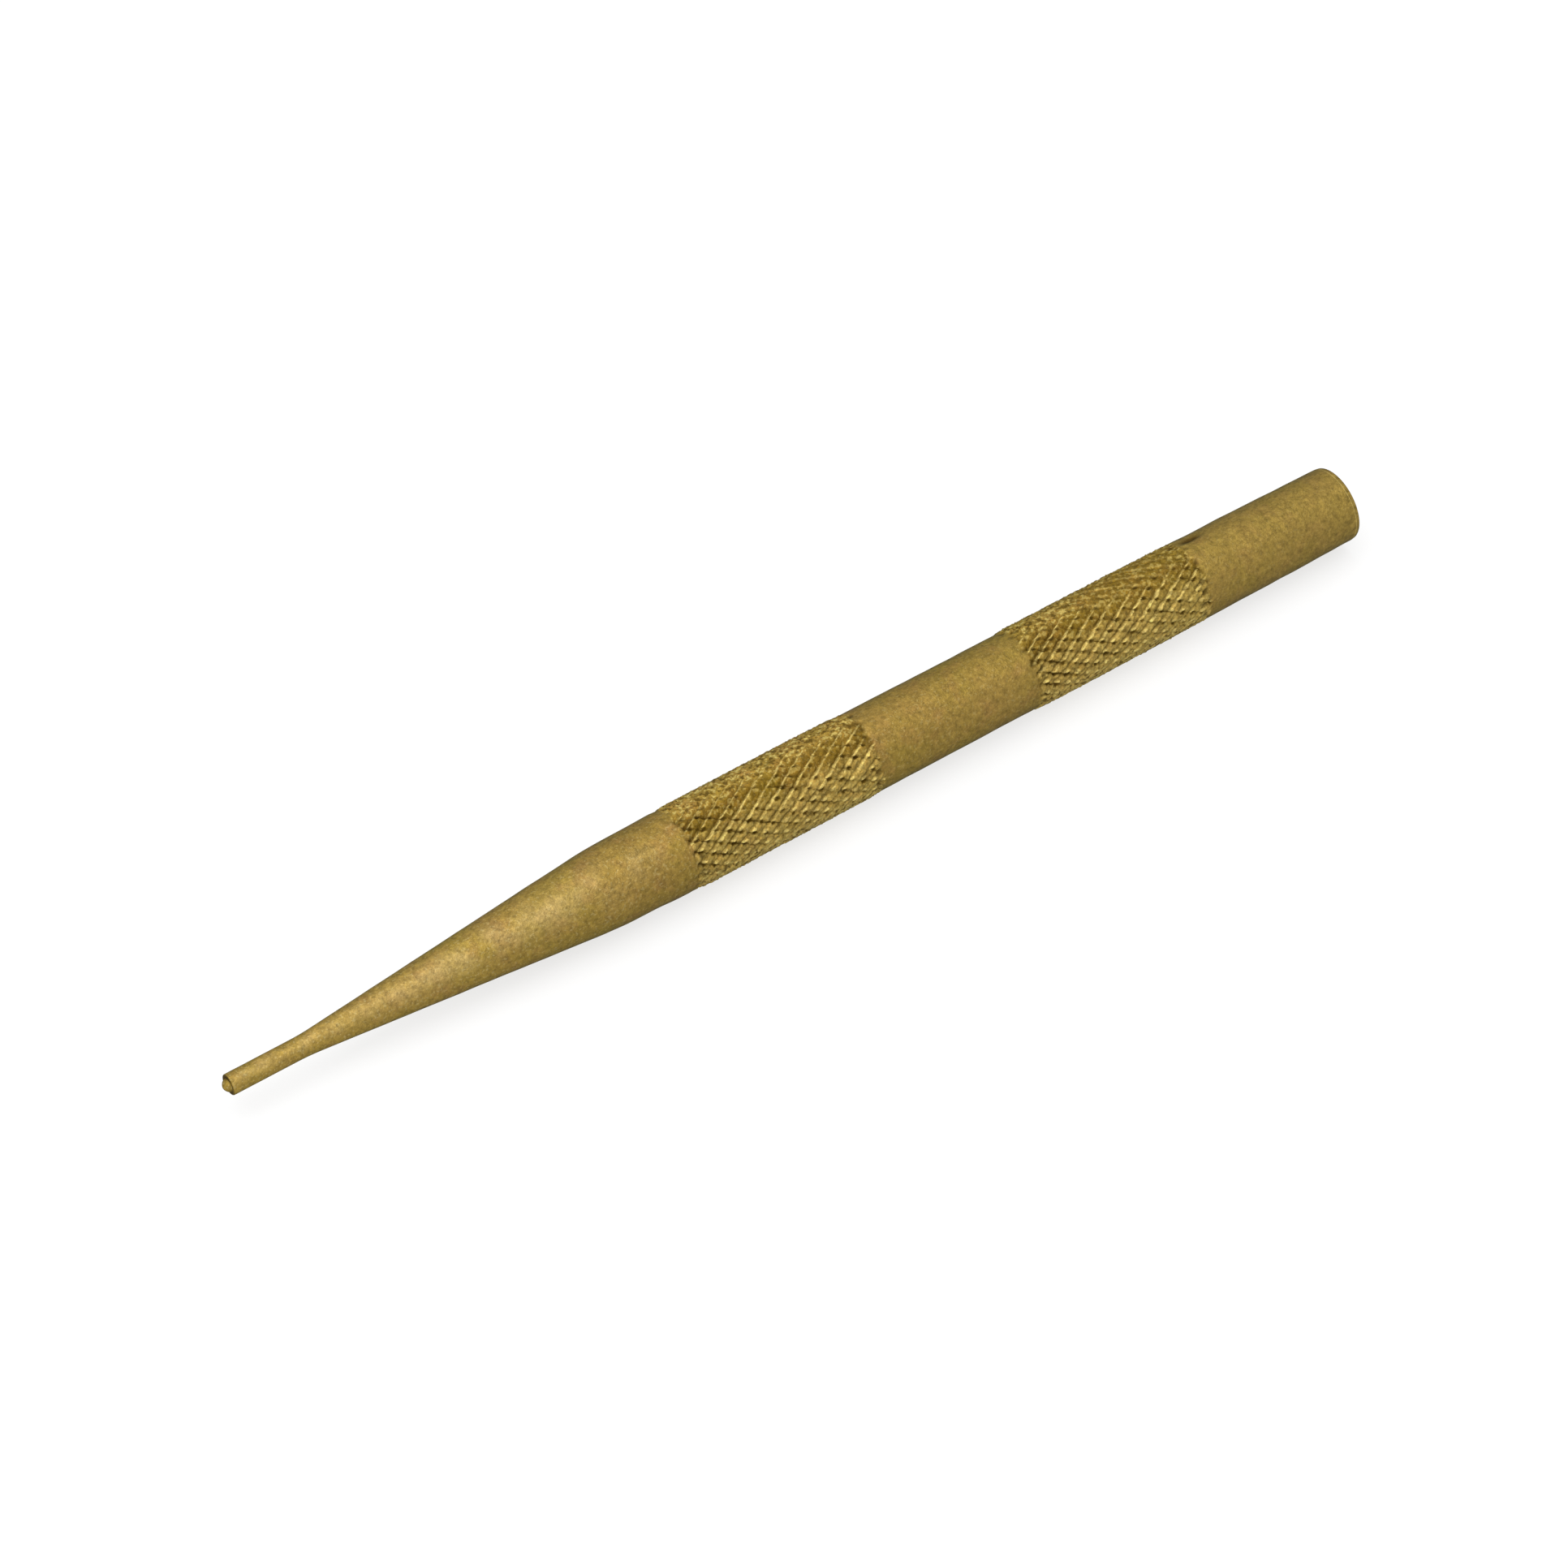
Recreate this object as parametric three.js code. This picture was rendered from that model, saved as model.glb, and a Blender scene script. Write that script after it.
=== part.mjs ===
// Pilot punch: one piece of cast, non-sparking bronze, lying on its side.
// Millimetres, +Z up. The axis runs along X: the pilot points to -X, the struck head to +X.
// The origin is on the ground, under the middle of the length.

import * as THREE from "three";
import { mergeVertices } from "three/addons/utils/BufferGeometryUtils.js";

// Pilot: the domed stub that enters the bore of a hollow pin
const pilotDiameter = 1.52;
const pilotLength = 0.82;

// Pin: the slim parallel end, whose flat ring drives the hollow pin
const pinDiameter = 2.5;
const pinLength = 9.58;
const pinEdgeRounding = 0.12;

// Taper from the pin to the bar, and how far its two blends run along the profile
const taperLength = 39.25;
const toeBlend = 1.5;
const shoulderBlend = 3.2;

// Bar and its plain stretches
const barDiameter = 9.525;
const shankLength = 9.3;
const middleLength = 22.25;
const headLength = 22.1;

// Head: it draws in a little towards the struck face, whose rim is rounded
const headTaperLength = 16;
const headTaperBlend = 3;
const headEndDiameter = 9.19;
const headEdgeRounding = 0.5;

// Knurls: two crossing families of V grooves that leave flat-topped diamonds between them
const frontKnurlLength = 24.9;
const rearKnurlLength = 24.2;
const knurlStarts = 20;
const knurlHelixDegrees = 30;
const knurlStand = 0.22;
const knurlGrooveDepth = 0.36;
const knurlGrooveWidth = 0.7;
const knurlRunOut = 0.3;
const knurlEndSlope = 0.2;

// How finely a rounded corner is drawn
const roundingSteps = 4;

// Sizes that follow from those above
const pilotRadius = pilotDiameter / 2;
const pinRadius = pinDiameter / 2;
const barRadius = barDiameter / 2;
const headEndRadius = headEndDiameter / 2;
const crestRadius = barRadius + knurlStand;
const grooveRadius = crestRadius - knurlGrooveDepth;

// Diamonds stand in straight rows along the bar, a whole number of them round it
const rowsRound = 2 * knurlStarts;
const rowAngle = (2 * Math.PI) / rowsRound;
const helixAngle = THREE.MathUtils.degToRad(knurlHelixDegrees);
const rowPitch = (crestRadius * rowAngle) / Math.tan(helixAngle);
const groovePitch = 2 * rowPitch * Math.sin(helixAngle);
const crestShare = 1 - knurlGrooveWidth / groovePitch;

// Places along the axis, from the pilot's nose
const pinEnd = pilotLength + pinLength;
const taperEnd = pinEnd + taperLength;
const frontKnurlStart = taperEnd + shankLength;
const frontKnurlEnd = frontKnurlStart + frontKnurlLength;
const rearKnurlStart = frontKnurlEnd + middleLength;
const rearKnurlEnd = rearKnurlStart + rearKnurlLength;
const overallLength = rearKnurlEnd + headLength;

// The skin is gathered face by face, each a list of triangle corners seen anticlockwise from outside
const skin = [];

// A flat ring of points becomes a fan of triangles; neighbours that fall together on the axis count once
function addFace(...ring) {
  const corners = ring.filter((point, i) => !point.equals(ring.at(i - 1)));
  for (let i = 2; i < corners.length; i++) skin.push(corners[0], corners[i - 1], corners[i]);
}

// A point on the bar, from its place along the axis, its row round the bar and its radius.
// Row zero is at the top, so a row of diamonds faces straight down for the bar to lie on.
function onBar(along, row, radius) {
  const angle = (((row % rowsRound) + rowsRound) % rowsRound) * rowAngle;
  return new THREE.Vector3(along, -radius * Math.sin(angle), radius * Math.cos(angle));
}

// A profile of straight sides: each corner is [along, radius, reach], and its rounding
// takes up the reach on both sides of it, or as much of it as the shorter side has
function drawProfile(corners) {
  const places = corners.map(([along, radius]) => new THREE.Vector2(along, radius));
  const path = new THREE.Path();
  path.moveTo(places[0].x, places[0].y);
  for (let i = 1; i < places.length - 1; i++) {
    const corner = places[i];
    const back = places[i - 1].clone().sub(corner);
    const onward = places[i + 1].clone().sub(corner);
    const reach = Math.min(corners[i][2] ?? 0, back.length(), onward.length());
    if (reach === 0) {
      path.lineTo(corner.x, corner.y);
      continue;
    }
    const from = back.setLength(reach).add(corner);
    const to = onward.setLength(reach).add(corner);
    path.lineTo(from.x, from.y);
    path.quadraticCurveTo(corner.x, corner.y, to.x, to.y);
  }
  path.lineTo(places.at(-1).x, places.at(-1).y);
  return path.getPoints(roundingSteps);
}

// A profile turned about the axis
function addRevolved(corners) {
  const points = drawProfile(corners);
  for (let i = 1; i < points.length; i++) {
    const [near, far] = [points[i - 1], points[i]];
    for (let row = 0; row < rowsRound; row++) {
      addFace(
        onBar(near.x, row, near.y),
        onBar(near.x, row + 1, near.y),
        onBar(far.x, row + 1, far.y),
        onBar(far.x, row, far.y),
      );
    }
  }
}

// A knurled band. Grooves cross where pitch + row is even, and a diamond stands where it is odd,
// with a crossing half a diamond away on each of its four sides. The bands' ends cut diamonds in half.
function addKnurl(start, length) {
  const flankLength = length - 2 * knurlRunOut;
  const pitches = Math.max(2, Math.round(flankLength / rowPitch));
  const pitchLength = flankLength / pitches;
  const firstLine = start + knurlRunOut;
  const lineAt = (pitch) => firstLine + pitch * pitchLength;
  const slopeShare = knurlEndSlope / pitchLength;

  for (let pitch = 0; pitch <= pitches; pitch++) {
    const crossing = (row, step) => onBar(lineAt(pitch + step), row, grooveRadius);
    const crest = (row, turn, step) =>
      onBar(lineAt(pitch + step), row + turn, crestRadius / Math.cos(turn * rowAngle));
    for (let row = (pitch + 1) % 2; row < rowsRound; row += 2) {
      if (pitch === 0 || pitch === pitches) {
        const inward = pitch === 0 ? 1 : -1;
        const lip = onBar(lineAt(pitch), row, barRadius);
        addHalfDiamond(row, inward, slopeShare, lip, crossing, crest);
      } else {
        addDiamond(row, crossing, crest);
      }
    }
  }

  addRunOut(start, firstLine, 0);
  addRunOut(start + length, lineAt(pitches), pitches);
}

// Four groove walls round a flat top
function addDiamond(row, crossing, crest) {
  const foot = [crossing(row, -1), crossing(row + 1, 0), crossing(row, 1), crossing(row - 1, 0)];
  const top = [
    crest(row, 0, -crestShare),
    crest(row, crestShare, 0),
    crest(row, 0, crestShare),
    crest(row, -crestShare, 0),
  ];
  for (let side = 0; side < 4; side++) {
    const next = (side + 1) % 4;
    addFace(foot[side], foot[next], top[next], top[side]);
  }
  addFace(...top);
}

// Half a diamond at a band's end, whose end wall slopes up from a lip level with the plain bar.
// Inward is 1 at the band's first end and -1 at its last.
function addHalfDiamond(row, inward, slopeShare, lip, crossing, crest) {
  const endShare = crestShare - slopeShare;
  const near = crossing(row - 1, 0);
  const far = crossing(row + 1, 0);
  const inner = crossing(row, inward);
  const topNear = crest(row, -endShare, slopeShare * inward);
  const topFar = crest(row, endShare, slopeShare * inward);
  const topInner = crest(row, 0, crestShare * inward);
  const faces = [
    [near, lip, topNear],
    [lip, topFar, topNear],
    [lip, far, topFar],
    [far, inner, topInner, topFar],
    [inner, near, topNear, topInner],
    [topNear, topFar, topInner],
  ];
  for (const ring of faces) addFace(...(inward > 0 ? ring : ring.reverse()));
}

// The grooves run out from a band's last line of crossings to the plain bar
function addRunOut(plainEnd, line, pitch) {
  const onLine = (row) => onBar(line, row, (pitch + row) % 2 === 0 ? grooveRadius : barRadius);
  for (let row = 0; row < rowsRound; row++) {
    const ring = [
      onBar(plainEnd, row, barRadius),
      onBar(plainEnd, row + 1, barRadius),
      onLine(row + 1),
      onLine(row),
    ];
    addFace(...(plainEnd < line ? ring : ring.reverse()));
  }
}

// Pilot, pin, taper and the plain shank before the front knurl
addRevolved([
  [0, 0],
  [0, pilotRadius, pilotRadius],
  [pilotLength, pilotRadius],
  [pilotLength, pinRadius, pinEdgeRounding],
  [pinEnd, pinRadius, toeBlend],
  [taperEnd, barRadius, shoulderBlend],
  [frontKnurlStart, barRadius],
]);

addKnurl(frontKnurlStart, frontKnurlLength);

// Bare middle between the knurls
addRevolved([
  [frontKnurlEnd, barRadius],
  [rearKnurlStart, barRadius],
]);

addKnurl(rearKnurlStart, rearKnurlLength);

// Plain head with its flat struck face
addRevolved([
  [rearKnurlEnd, barRadius],
  [overallLength - headTaperLength, barRadius, headTaperBlend],
  [overallLength, headEndRadius, headEdgeRounding],
  [overallLength, 0],
]);

const bronze = new THREE.MeshStandardMaterial({
  color: 0xa58a4b,
  metalness: 0.85,
  roughness: 0.5,
  flatShading: true,
});

const punch = new THREE.Mesh(mergeVertices(new THREE.BufferGeometry().setFromPoints(skin)), bronze);
punch.name = "punch_body";

// The lowest diamonds touch the ground
punch.geometry.computeBoundingBox();
punch.position.set(-overallLength / 2, 0, -punch.geometry.boundingBox.min.z);

const group = new THREE.Group();
group.add(punch);

export default group;
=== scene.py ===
"""Looks of a cast bronze pilot punch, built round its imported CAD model.

Metres, in the CAD's frame: the axis runs along X, the pilot points to -X, +Z is up and the punch lies on
its front knurl. A place "along" the bar is measured from the pilot's nose, and a "turn" is an angle round
the bar, from the top towards -Y.
"""

import math
from collections import namedtuple

import bpy
import numpy as np
from mathutils import Matrix, Vector


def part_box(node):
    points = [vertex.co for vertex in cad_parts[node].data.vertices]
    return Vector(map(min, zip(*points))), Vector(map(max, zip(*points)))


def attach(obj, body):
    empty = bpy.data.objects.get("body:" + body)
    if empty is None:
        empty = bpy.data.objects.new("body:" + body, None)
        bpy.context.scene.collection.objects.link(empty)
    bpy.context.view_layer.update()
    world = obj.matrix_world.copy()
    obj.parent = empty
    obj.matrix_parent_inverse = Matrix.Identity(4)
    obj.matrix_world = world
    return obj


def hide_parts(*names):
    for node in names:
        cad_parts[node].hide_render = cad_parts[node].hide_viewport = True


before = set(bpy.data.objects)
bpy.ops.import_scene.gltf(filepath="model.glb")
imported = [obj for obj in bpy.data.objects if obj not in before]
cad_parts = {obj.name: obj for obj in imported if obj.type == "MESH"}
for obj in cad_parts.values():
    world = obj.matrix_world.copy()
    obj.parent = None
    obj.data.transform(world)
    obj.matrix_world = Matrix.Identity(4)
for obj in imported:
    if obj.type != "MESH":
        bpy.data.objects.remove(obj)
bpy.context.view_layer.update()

MM = 0.001
FULL_TURN = 2 * math.pi

# Taken from the frame
low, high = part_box("punch_body")
NOSE = low.x
LENGTH = high.x - low.x
AXIS_HEIGHT = (low.z + high.z) / 2
CREST_RADIUS = (high.y - low.y) / 2

# Random unevenness, drawn as waves: their height, their number, the shortest and the longest along the bar,
# the most lobes round it, and what is added to the seed
Waves = namedtuple("Waves", "height count shortest longest most_lobes seed")

# Pilot: a blunt dome, and the ring round it that drives a hollow pin
PILOT_RADIUS = 0.8 * MM
PILOT_START = 0.05 * MM
PILOT_END = 0.74 * MM
DOME_SHARES = (0.004, 0.03, 0.09, 0.18, 0.3, 0.45, 0.62, 0.8, 0.94)
DOME_BLUNTNESS = 1.8
DOME_FULLNESS = 0.62
# Dirt and painted shade on the dome, darkest at its foot by the crease
DOME_TIP_DIRT = 0.1
DOME_FOOT_DIRT_AND_SHADE = 0.7
CREASE_WIDTH = 0.04 * MM
CREASE_REACH = 2.5 * CREASE_WIDTH
RING_INSET = 0.5 * CREASE_WIDTH

# Where the dirt and painted shade round the pilot are lifted, as painted light on the side that faces up
# and to -Y, and how much of them
LIT_TURN = math.radians(62)
LIT_WIDTH = math.radians(40)
LIT_SHARE = 0.8

# Outline of the plain bar
PIN_RADIUS = 1.25 * MM
PIN_EDGE = 0.14 * MM
# Wear and a painted highlight on the outer part of the pin's rounded edge
PIN_EDGE_WEAR_AND_HIGHLIGHT = 0.25
PIN_START = PILOT_END + 1.5 * PIN_EDGE
PIN_END = 10.4 * MM
TOE_BLEND = 1.5 * MM
TAPER_END = 49.65 * MM
SHOULDER_BLEND = 2.4 * MM
BAR_RADIUS = 4.7625 * MM

# Rim of the struck face: a rubbed line with a painted highlight, as shares of the rim's length and their
# wear and painted highlight, then a slight drop and a small rounded edge
RIM_LENGTH = 0.6 * MM
RIM_DROP = 0.06 * MM
RIM_EDGE = 0.08 * MM
RIM_DIRT = 0.35
RUBBED_HIGHLIGHT_LINE = ((0, 0.1), (0.12, 0.55), (0.24, 0.1))
RUBBED_LINE_DROP_SHARE = 0.2
EDGE_START_SHARE = 1.6
EDGE_START_DROP_SHARE = 0.15
EDGE_DIRT = 0.5
EDGE_WEAR = 0.1
FACE_RING_SHARES = (0.97, 0.8, 0.55, 0.3, 0.08)
ROUNDING_STEPS = 5

# The casting isn't quite round or straight: radius added to the bar at places along it
SWELL_PLACES = np.array([53.0, 58.9, 84.0, 102.0, 130.4, 136.5, 141.0, 147.5, 152.4]) * MM
SWELL_HEIGHTS = np.array([0.0, 0.13, 0.07, 0.02, 0.04, 0.01, -0.03, -0.11, -0.165]) * MM
CREST_PLACES = np.array([58.9, 61.5, 74.0, 81.5, 84.0, 106.0, 109.0, 119.0, 130.5]) * MM
CREST_RADII = np.array([4.9, 4.98, 4.98, 4.94, 4.89, 4.88, 4.93, 4.91, 4.83]) * MM
HOLLOWS = Waves(0.012 * MM, 60, 3 * MM, 25 * MM, 5, 5)

# Knurls: straight rows of diamonds along the bar, cut by two crossing families of grooves. Each band's mesh
# stays as fine for some pitches before and after it. A share of a groove is of the spacing in its family.
Band = namedtuple("Band", "start end pitches seed fine_before fine_after")
FRONT_KNURL = Band(58.95 * MM, 83.85 * MM, 18, 11, 1, 1)
REAR_KNURL = Band(106.1 * MM, 130.3 * MM, 17, 23, 1, 3)
ROWS = 40
RUN_OUT = 0.3 * MM
OVERHANG_PITCHES = 0.4
END_STEP_PITCHES = 0.3
RAGGED_ENDS = Waves(0.08, 24, 1, 2, 16, 3)

# Grooves of both families, as shares of a full depth. They bite deepest at a band's first end.
GROOVE_DEPTH = 0.36 * MM
DEEPEST_SHARE = 1.3
CROSSING_SHARE = 0.25
BITE = 0.9
FIRST_BITE = 1.1
FIRST_BITE_PITCHES = 4

# Wide grooves run steeply on the side that the camera sees, with a narrow bright wall and a wide dark one
BRIGHT_SHARE = 0.14
DARK_SHARE = 0.28
WIDE_STREAK_LOSS = 0.9
WIDE_WANDER = Waves(0.03, 40, 1.5 * MM, 6 * MM, 30, 8)
WIDE_DEPTHS = Waves(0.2, 30, 3 * MM, 20 * MM, 6, 1)

# Thin grooves cross them, with one wall slacker than the other
THIN_SHARE = 0.14
THIN_LEAN = 0.05
THIN_DEPTH_SHARE = 0.45
THIN_STREAK_SHARE = 0.8
THIN_WANDER = Waves(0.032, 60, 0.9 * MM, 4 * MM, 40, 12)
THIN_DEPTHS = Waves(0.38, 30, 2 * MM, 12 * MM, 9, 2)

# Diamonds, each with its own height and tilt. Spare ones stand beyond both ends of a band.
DIAMOND_UNEVENNESS = 0.02 * MM
DIAMOND_TILT = 0.06 * MM
SPARE_CELLS = 4
LUMPS = Waves(0.042 * MM, 120, 0.5 * MM, 1.3 * MM, 60, 9)
GRIT = Waves(0.036 * MM, 120, 0.5 * MM, 1.2 * MM, 60, 4)
GRIT_SHARE = 1.1
PRINTED_GRIT_LOSS = 0.6

# Ridge beside each wide groove's bright wall, and the notches that the thin grooves cut past it, which are
# also painted dark as shade
RIDGE_PLACE = 0.9 * BRIGHT_SHARE
RIDGE_REACH = 0.13
NOTCH_STRENGTH = 2.6
NOTCH_PLACE = 0.2
NOTCH_REACH = 0.18
NOTCH_ACROSS = 0.19
NOTCH_DEPTH = 0.1 * MM
PATCHES = Waves(0.6, 60, 1.5 * MM, 5 * MM, 20, 10)
PATCH_RANGE = (0.1, 2)

# Rubbed burr on the ridges, painted with a highlight beside each wide groove's bright wall. On the band's
# low side only dashes of it are left, just past each thin groove, as painted highlights.
BURR_HEIGHT = 0.04 * MM
BURR_RANGE = (0.3, 1.8)
BURR_BREAKS = Waves(0.45, 60, 0.7 * MM, 3 * MM, 40, 7)
BURR_LEVEL = 1.15
BURR_PRINT_GAIN = 2.2
BURR_PRINT_START = 0.1
BURR_BASE = 0.9
BURR_SWELL = 0.5
BURR_SWELL_PLACE = 0.1
BURR_SWELL_REACH = 0.2
BURR_MOST = 1.2
DASH_TURN = math.radians(34)
DASH_FADE = math.radians(34)
DASH_PLACE = 0.24
DASH_REACH = 0.15
DASH_FULLNESS = 1.5

# Wear away from the burr: painted light over the band's lower side, and rubbing along the streaks of the
# drawn-out patch
LOWER_TURN = math.radians(12)
LOWER_FADE = math.radians(44)
LOWER_SIDE_LIGHT = 0.44
STREAK_WEAR = 0.4
STREAK_WEAR_PLACE = 0.25
STREAK_WEAR_REACH = 0.2

# Dirt and painted shade in the grooves
DIRT_AND_SHADE_START_SHARE = 0.45
DIRT_AND_SHADE_GAIN = 2.2
WIDE_DIRT_AND_SHADE = 0.2
THIN_DIRT_AND_SHADE_GAIN = 1.2
LINE_DIRT_AND_SHADE = 0.2
LINE_REACH = 0.125
STREAK_DIRT_AND_SHADE = 0.4
STREAK_DIRT_AND_SHADE_REACH = 0.2

# The two halves of the mould meet along the bar at this turn and opposite it, where the knurl prints faintly
PARTING_TURN = math.radians(-42)
PARTING_SHARE = 0.12
PRINT_GAIN = 2.0
PRINT_START = 0.45
PRINTED_COARSE_LOSS = 0.6

# Rear knurl's drawn-out patch, where little but the thin grooves is left
STREAK_ALONG = 122.5 * MM
STREAK_LENGTH = 9 * MM
STREAK_TURN = math.radians(-15)
STREAK_WIDTH = math.radians(34)

# Blowholes about both ends of each knurl, darkened by their depth as dirt and painted shade, and what each
# end adds to the band's seed
FIRST_END_SEED = 6
LAST_END_SEED = 4
BLOWHOLES = 46
BLOWHOLE_RADII = (0.2 * MM, 0.42 * MM)
BLOWHOLE_DEPTH = 0.2 * MM
BLOWHOLES_OUTSIDE = 0.3 * MM
BLOWHOLES_INSIDE = 0.9 * MM
SHALLOWEST_SHARE = 0.3

# Void in the casting, beside the rear knurl's end, darkened as dirt and painted shade
VOID_ALONG = 132.2 * MM
VOID_LENGTH = 1.4 * MM
VOID_TURN = math.radians(-24)
VOID_WIDTH = 0.55 * MM
VOID_DEPTH = 0.3 * MM
VOID_DIRT_AND_SHADE = 1.4

# Pale dust and a painted sheen along the taper's upper side, where its highlight lies, and a spot of them
# on the shank
DUST_AND_SHEEN_TURN = math.radians(27)
DUST_AND_SHEEN_WIDTH = math.radians(38)
DUST_AND_SHEEN_END = 54 * MM
DUST_AND_SHEEN_FADE = 12 * MM
DUST_AND_SHEEN_STRENGTH = 0.8
SPOT_ALONG = 52.6 * MM
SPOT_LENGTH = 2.2 * MM
SPOT_TURN = math.radians(32)
SPOT_WIDTH = 1.6 * MM

# What each point of the skin carries for the bronze: dirt with painted shade, wear with painted highlights
# and light, coarseness, tone, and dust with a painted sheen
MARKS = ("dirt_and_shade", "wear_and_highlight", "coarse", "tone", "dust_and_sheen")

# Colours of the bronze
OLIVE_GOLD = (0.38, 0.24, 0.054)
YELLOW_GOLD = (0.365, 0.245, 0.043)
RUST = (0.37, 0.2, 0.06)
# Pale dust, which also carries a painted sheen along the taper's highlight
PALE_DUST_AND_SHEEN = (0.5, 0.35, 0.13)
HEAD_BRONZE = (0.42, 0.282, 0.07)
# Brightening of coarse skin: painted light for its grains catching the lamp
COARSE_LIGHT_TINT = (1.4, 1.4, 1.3)
# Deeper, yellower knurls: their tone, partly painted shade
KNURL_TONE_AND_SHADE_TINT = (0.86, 0.82, 0.53)
# Gold of rubbed metal, also painted as highlights on the ridges and as light over the knurls' lower side
RUBBED_AND_HIGHLIGHT_GOLD = (1.0, 0.76, 0.24)
FLECK_GOLD = (0.7, 0.54, 0.22)
# Painted shade in small holes and painted glints, both in coarse skin
HOLE_SHADE_BROWN = (0.16, 0.09, 0.012)
GLINT_GOLD = (0.85, 0.66, 0.2)
# Dirt in grooves, pits and creases, which also stands in for painted shade there
GROOVE_DIRT_AND_SHADE = (0.1, 0.05, 0.004)

# Patterns of the bronze: a noise's scale in waves to a metre, its detail and its roughness, the stretch of
# its values that counts, and what that stretch runs from and to
Pattern = namedtuple("Pattern", "scale detail roughness start end first last")
CLOUDS = Pattern(160, 3, 0.5, 0.35, 0.65, 0, 1)
RUST_SPOTS = Pattern(420, 3, 0.5, 0.5, 0.7, 0, 0.5)
# Breaks up the pale dust and its painted sheen
DUST_AND_SHEEN_SPOTS = Pattern(300, 4, 0.5, 0.35, 0.65, 0.15, 0.85)
SPECKLE = Pattern(1700, 5, 0.8, 0.3, 0.7, 0.45, 1.5)
MOTTLE = Pattern(1000, 2, 0.5, 0.3, 0.7, 0.92, 1.08)
FLECKS = Pattern(3200, 1, 0.5, 0.58, 0.7, 0, 1)
# Dark specks painted as shade in small holes, and bright ones painted as glints
HOLES = Pattern(1900, 1, 0.5, 0.56, 0.63, 0, 0.85)
GLINTS = Pattern(1900, 1, 0.5, 0.43, 0.36, 0, 1)
SATIN = Pattern(900, 2, 0.5, 0.3, 0.7, 0.48, 0.6)

# Grain of the bronze: a noise's scale in waves to a metre, its detail, its roughness, and how deep it goes
Grain = namedtuple("Grain", "scale detail roughness depth")
COARSE_GRAIN = Grain(1900, 2, 0.5, 0.4 * MM)
KNURL_GRAIN = Grain(2400, 2, 0.5, 0.25 * MM)
FINE_GRAIN = Grain(3800, 3, 0.65, 0.1 * MM)

# How the bronze changes from nose to head, darkening as painted light falling off from the nose side, and
# how the nose and the taper brighten
NOSE_TO_HEAD_LIGHT_FALLOFF = (1.09, 0.94)
NOSE_TO_HEAD_FLECKS = (0.5, 0.1)
TAPER_TONE = (1.15, 1.05)
HEAD_CALM = 0.5

# How strongly the marks show in the bronze
MARK_START = 0.1
DIRT_AND_SHADE_STRENGTH = 0.85
WEAR_AND_HIGHLIGHT_STRENGTH = 0.95
PLAIN_TO_KNURL_SPECKLE = (0.8, 0.85)
COARSE_DULLNESS = 0.14
KNURL_DULLNESS = 0.22
SHINE_START = 0.4
WEAR_SHINE = 0.2

# Fineness of the surface
STEPS_IN_PITCH = 6
FINE_COLUMNS = ROWS * STEPS_IN_PITCH
PLAIN_STEP = 0.6 * MM
PIN_STEP = 0.4 * MM

# Camera, found from the photograph's vanishing taper
CAMERA_AZIMUTH = math.radians(-35.7)
CAMERA_ELEVATION = math.radians(46.9)
CAMERA_DISTANCE = 713.3 * MM
CAMERA_LENS = 147.31
CAMERA_AIM_ALONG = 74.21 * MM
CAMERA_SHIFT_LEFT = 0.4193 * MM
CAMERA_SHIFT_UP = 0.7989 * MM
CAMERA_REACH = (0.01, 20)

# Studio
KEY_PLACE = (-0.2, -0.06, 1.07)
KEY_SIZE = 1.0
KEY_POWER = 7.5
WORLD_LEVEL = 0.88
FLOOR_COLOUR = 0.25
FLOOR_GLOW = 0.72
FLOOR_HALF = 4.0


def ramp(distance, blend):
    """Zero before the corner and the distance after it, joined by a parabola that is blend long each way."""
    inside = (np.clip(distance, -blend, blend) + blend) ** 2 / (4 * blend)
    return inside + np.maximum(distance - blend, 0)


def eased(along, places, values):
    """The values at their places, joined by half cosines."""
    after = np.clip(np.searchsorted(places, along), 1, len(places) - 1)
    share = np.clip((along - places[after - 1]) / (places[after] - places[after - 1]), 0, 1)
    return values[after - 1] + (values[after] - values[after - 1]) * (1 - np.cos(math.pi * share)) / 2


def smooth(share):
    """Zero below nought, one above one, and a smooth S between."""
    share = np.clip(share, 0, 1)
    return share * share * (3 - 2 * share)


def near(value, middle, reach):
    """One at the middle, falling evenly to nought at the reach on both sides."""
    return np.clip(1 - np.abs(value - middle) / reach, 0, 1)


def waves(along, turn, kind, seed=0):
    """A smooth random relief: a sum of cosines, each with its own wavelength along the bar and its own whole
    number of lobes round it, scaled to about the kind's height."""
    draw = np.random.default_rng(seed + kind.seed)
    lengths = kind.shortest * (kind.longest / kind.shortest) ** draw.random(kind.count)
    signs = draw.choice([-1, 1], kind.count)
    lobes = draw.integers(0, kind.most_lobes + 1, kind.count)
    phases = draw.random(kind.count) * FULL_TURN
    total = np.zeros(np.broadcast(along, turn).shape)
    for length, sign, lobe, phase in zip(lengths, signs, lobes, phases):
        total += np.cos(FULL_TURN * sign * along / length + lobe * turn + phase)
    return kind.height * total / math.sqrt(kind.count / 2)


def from_turn(turn, middle):
    """The signed angle from a middle turn, the short way round."""
    return (turn - middle + math.pi) % FULL_TURN - math.pi


def half_round(turn, start, fade):
    """One over the half turn after a start, nought over the rest, with a smooth fade at each end."""
    beyond = from_turn(turn, start)
    return smooth(beyond / fade) * smooth((math.pi - beyond) / fade)


def spot(along, turn, place, length, middle, width):
    """A soft spot of height one: a bell along the bar times a bell round it, whose width is measured on the
    skin."""
    across = from_turn(turn, middle) * BAR_RADIUS / width
    return np.exp(-(((along - place) / length) ** 2) - across**2)


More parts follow.
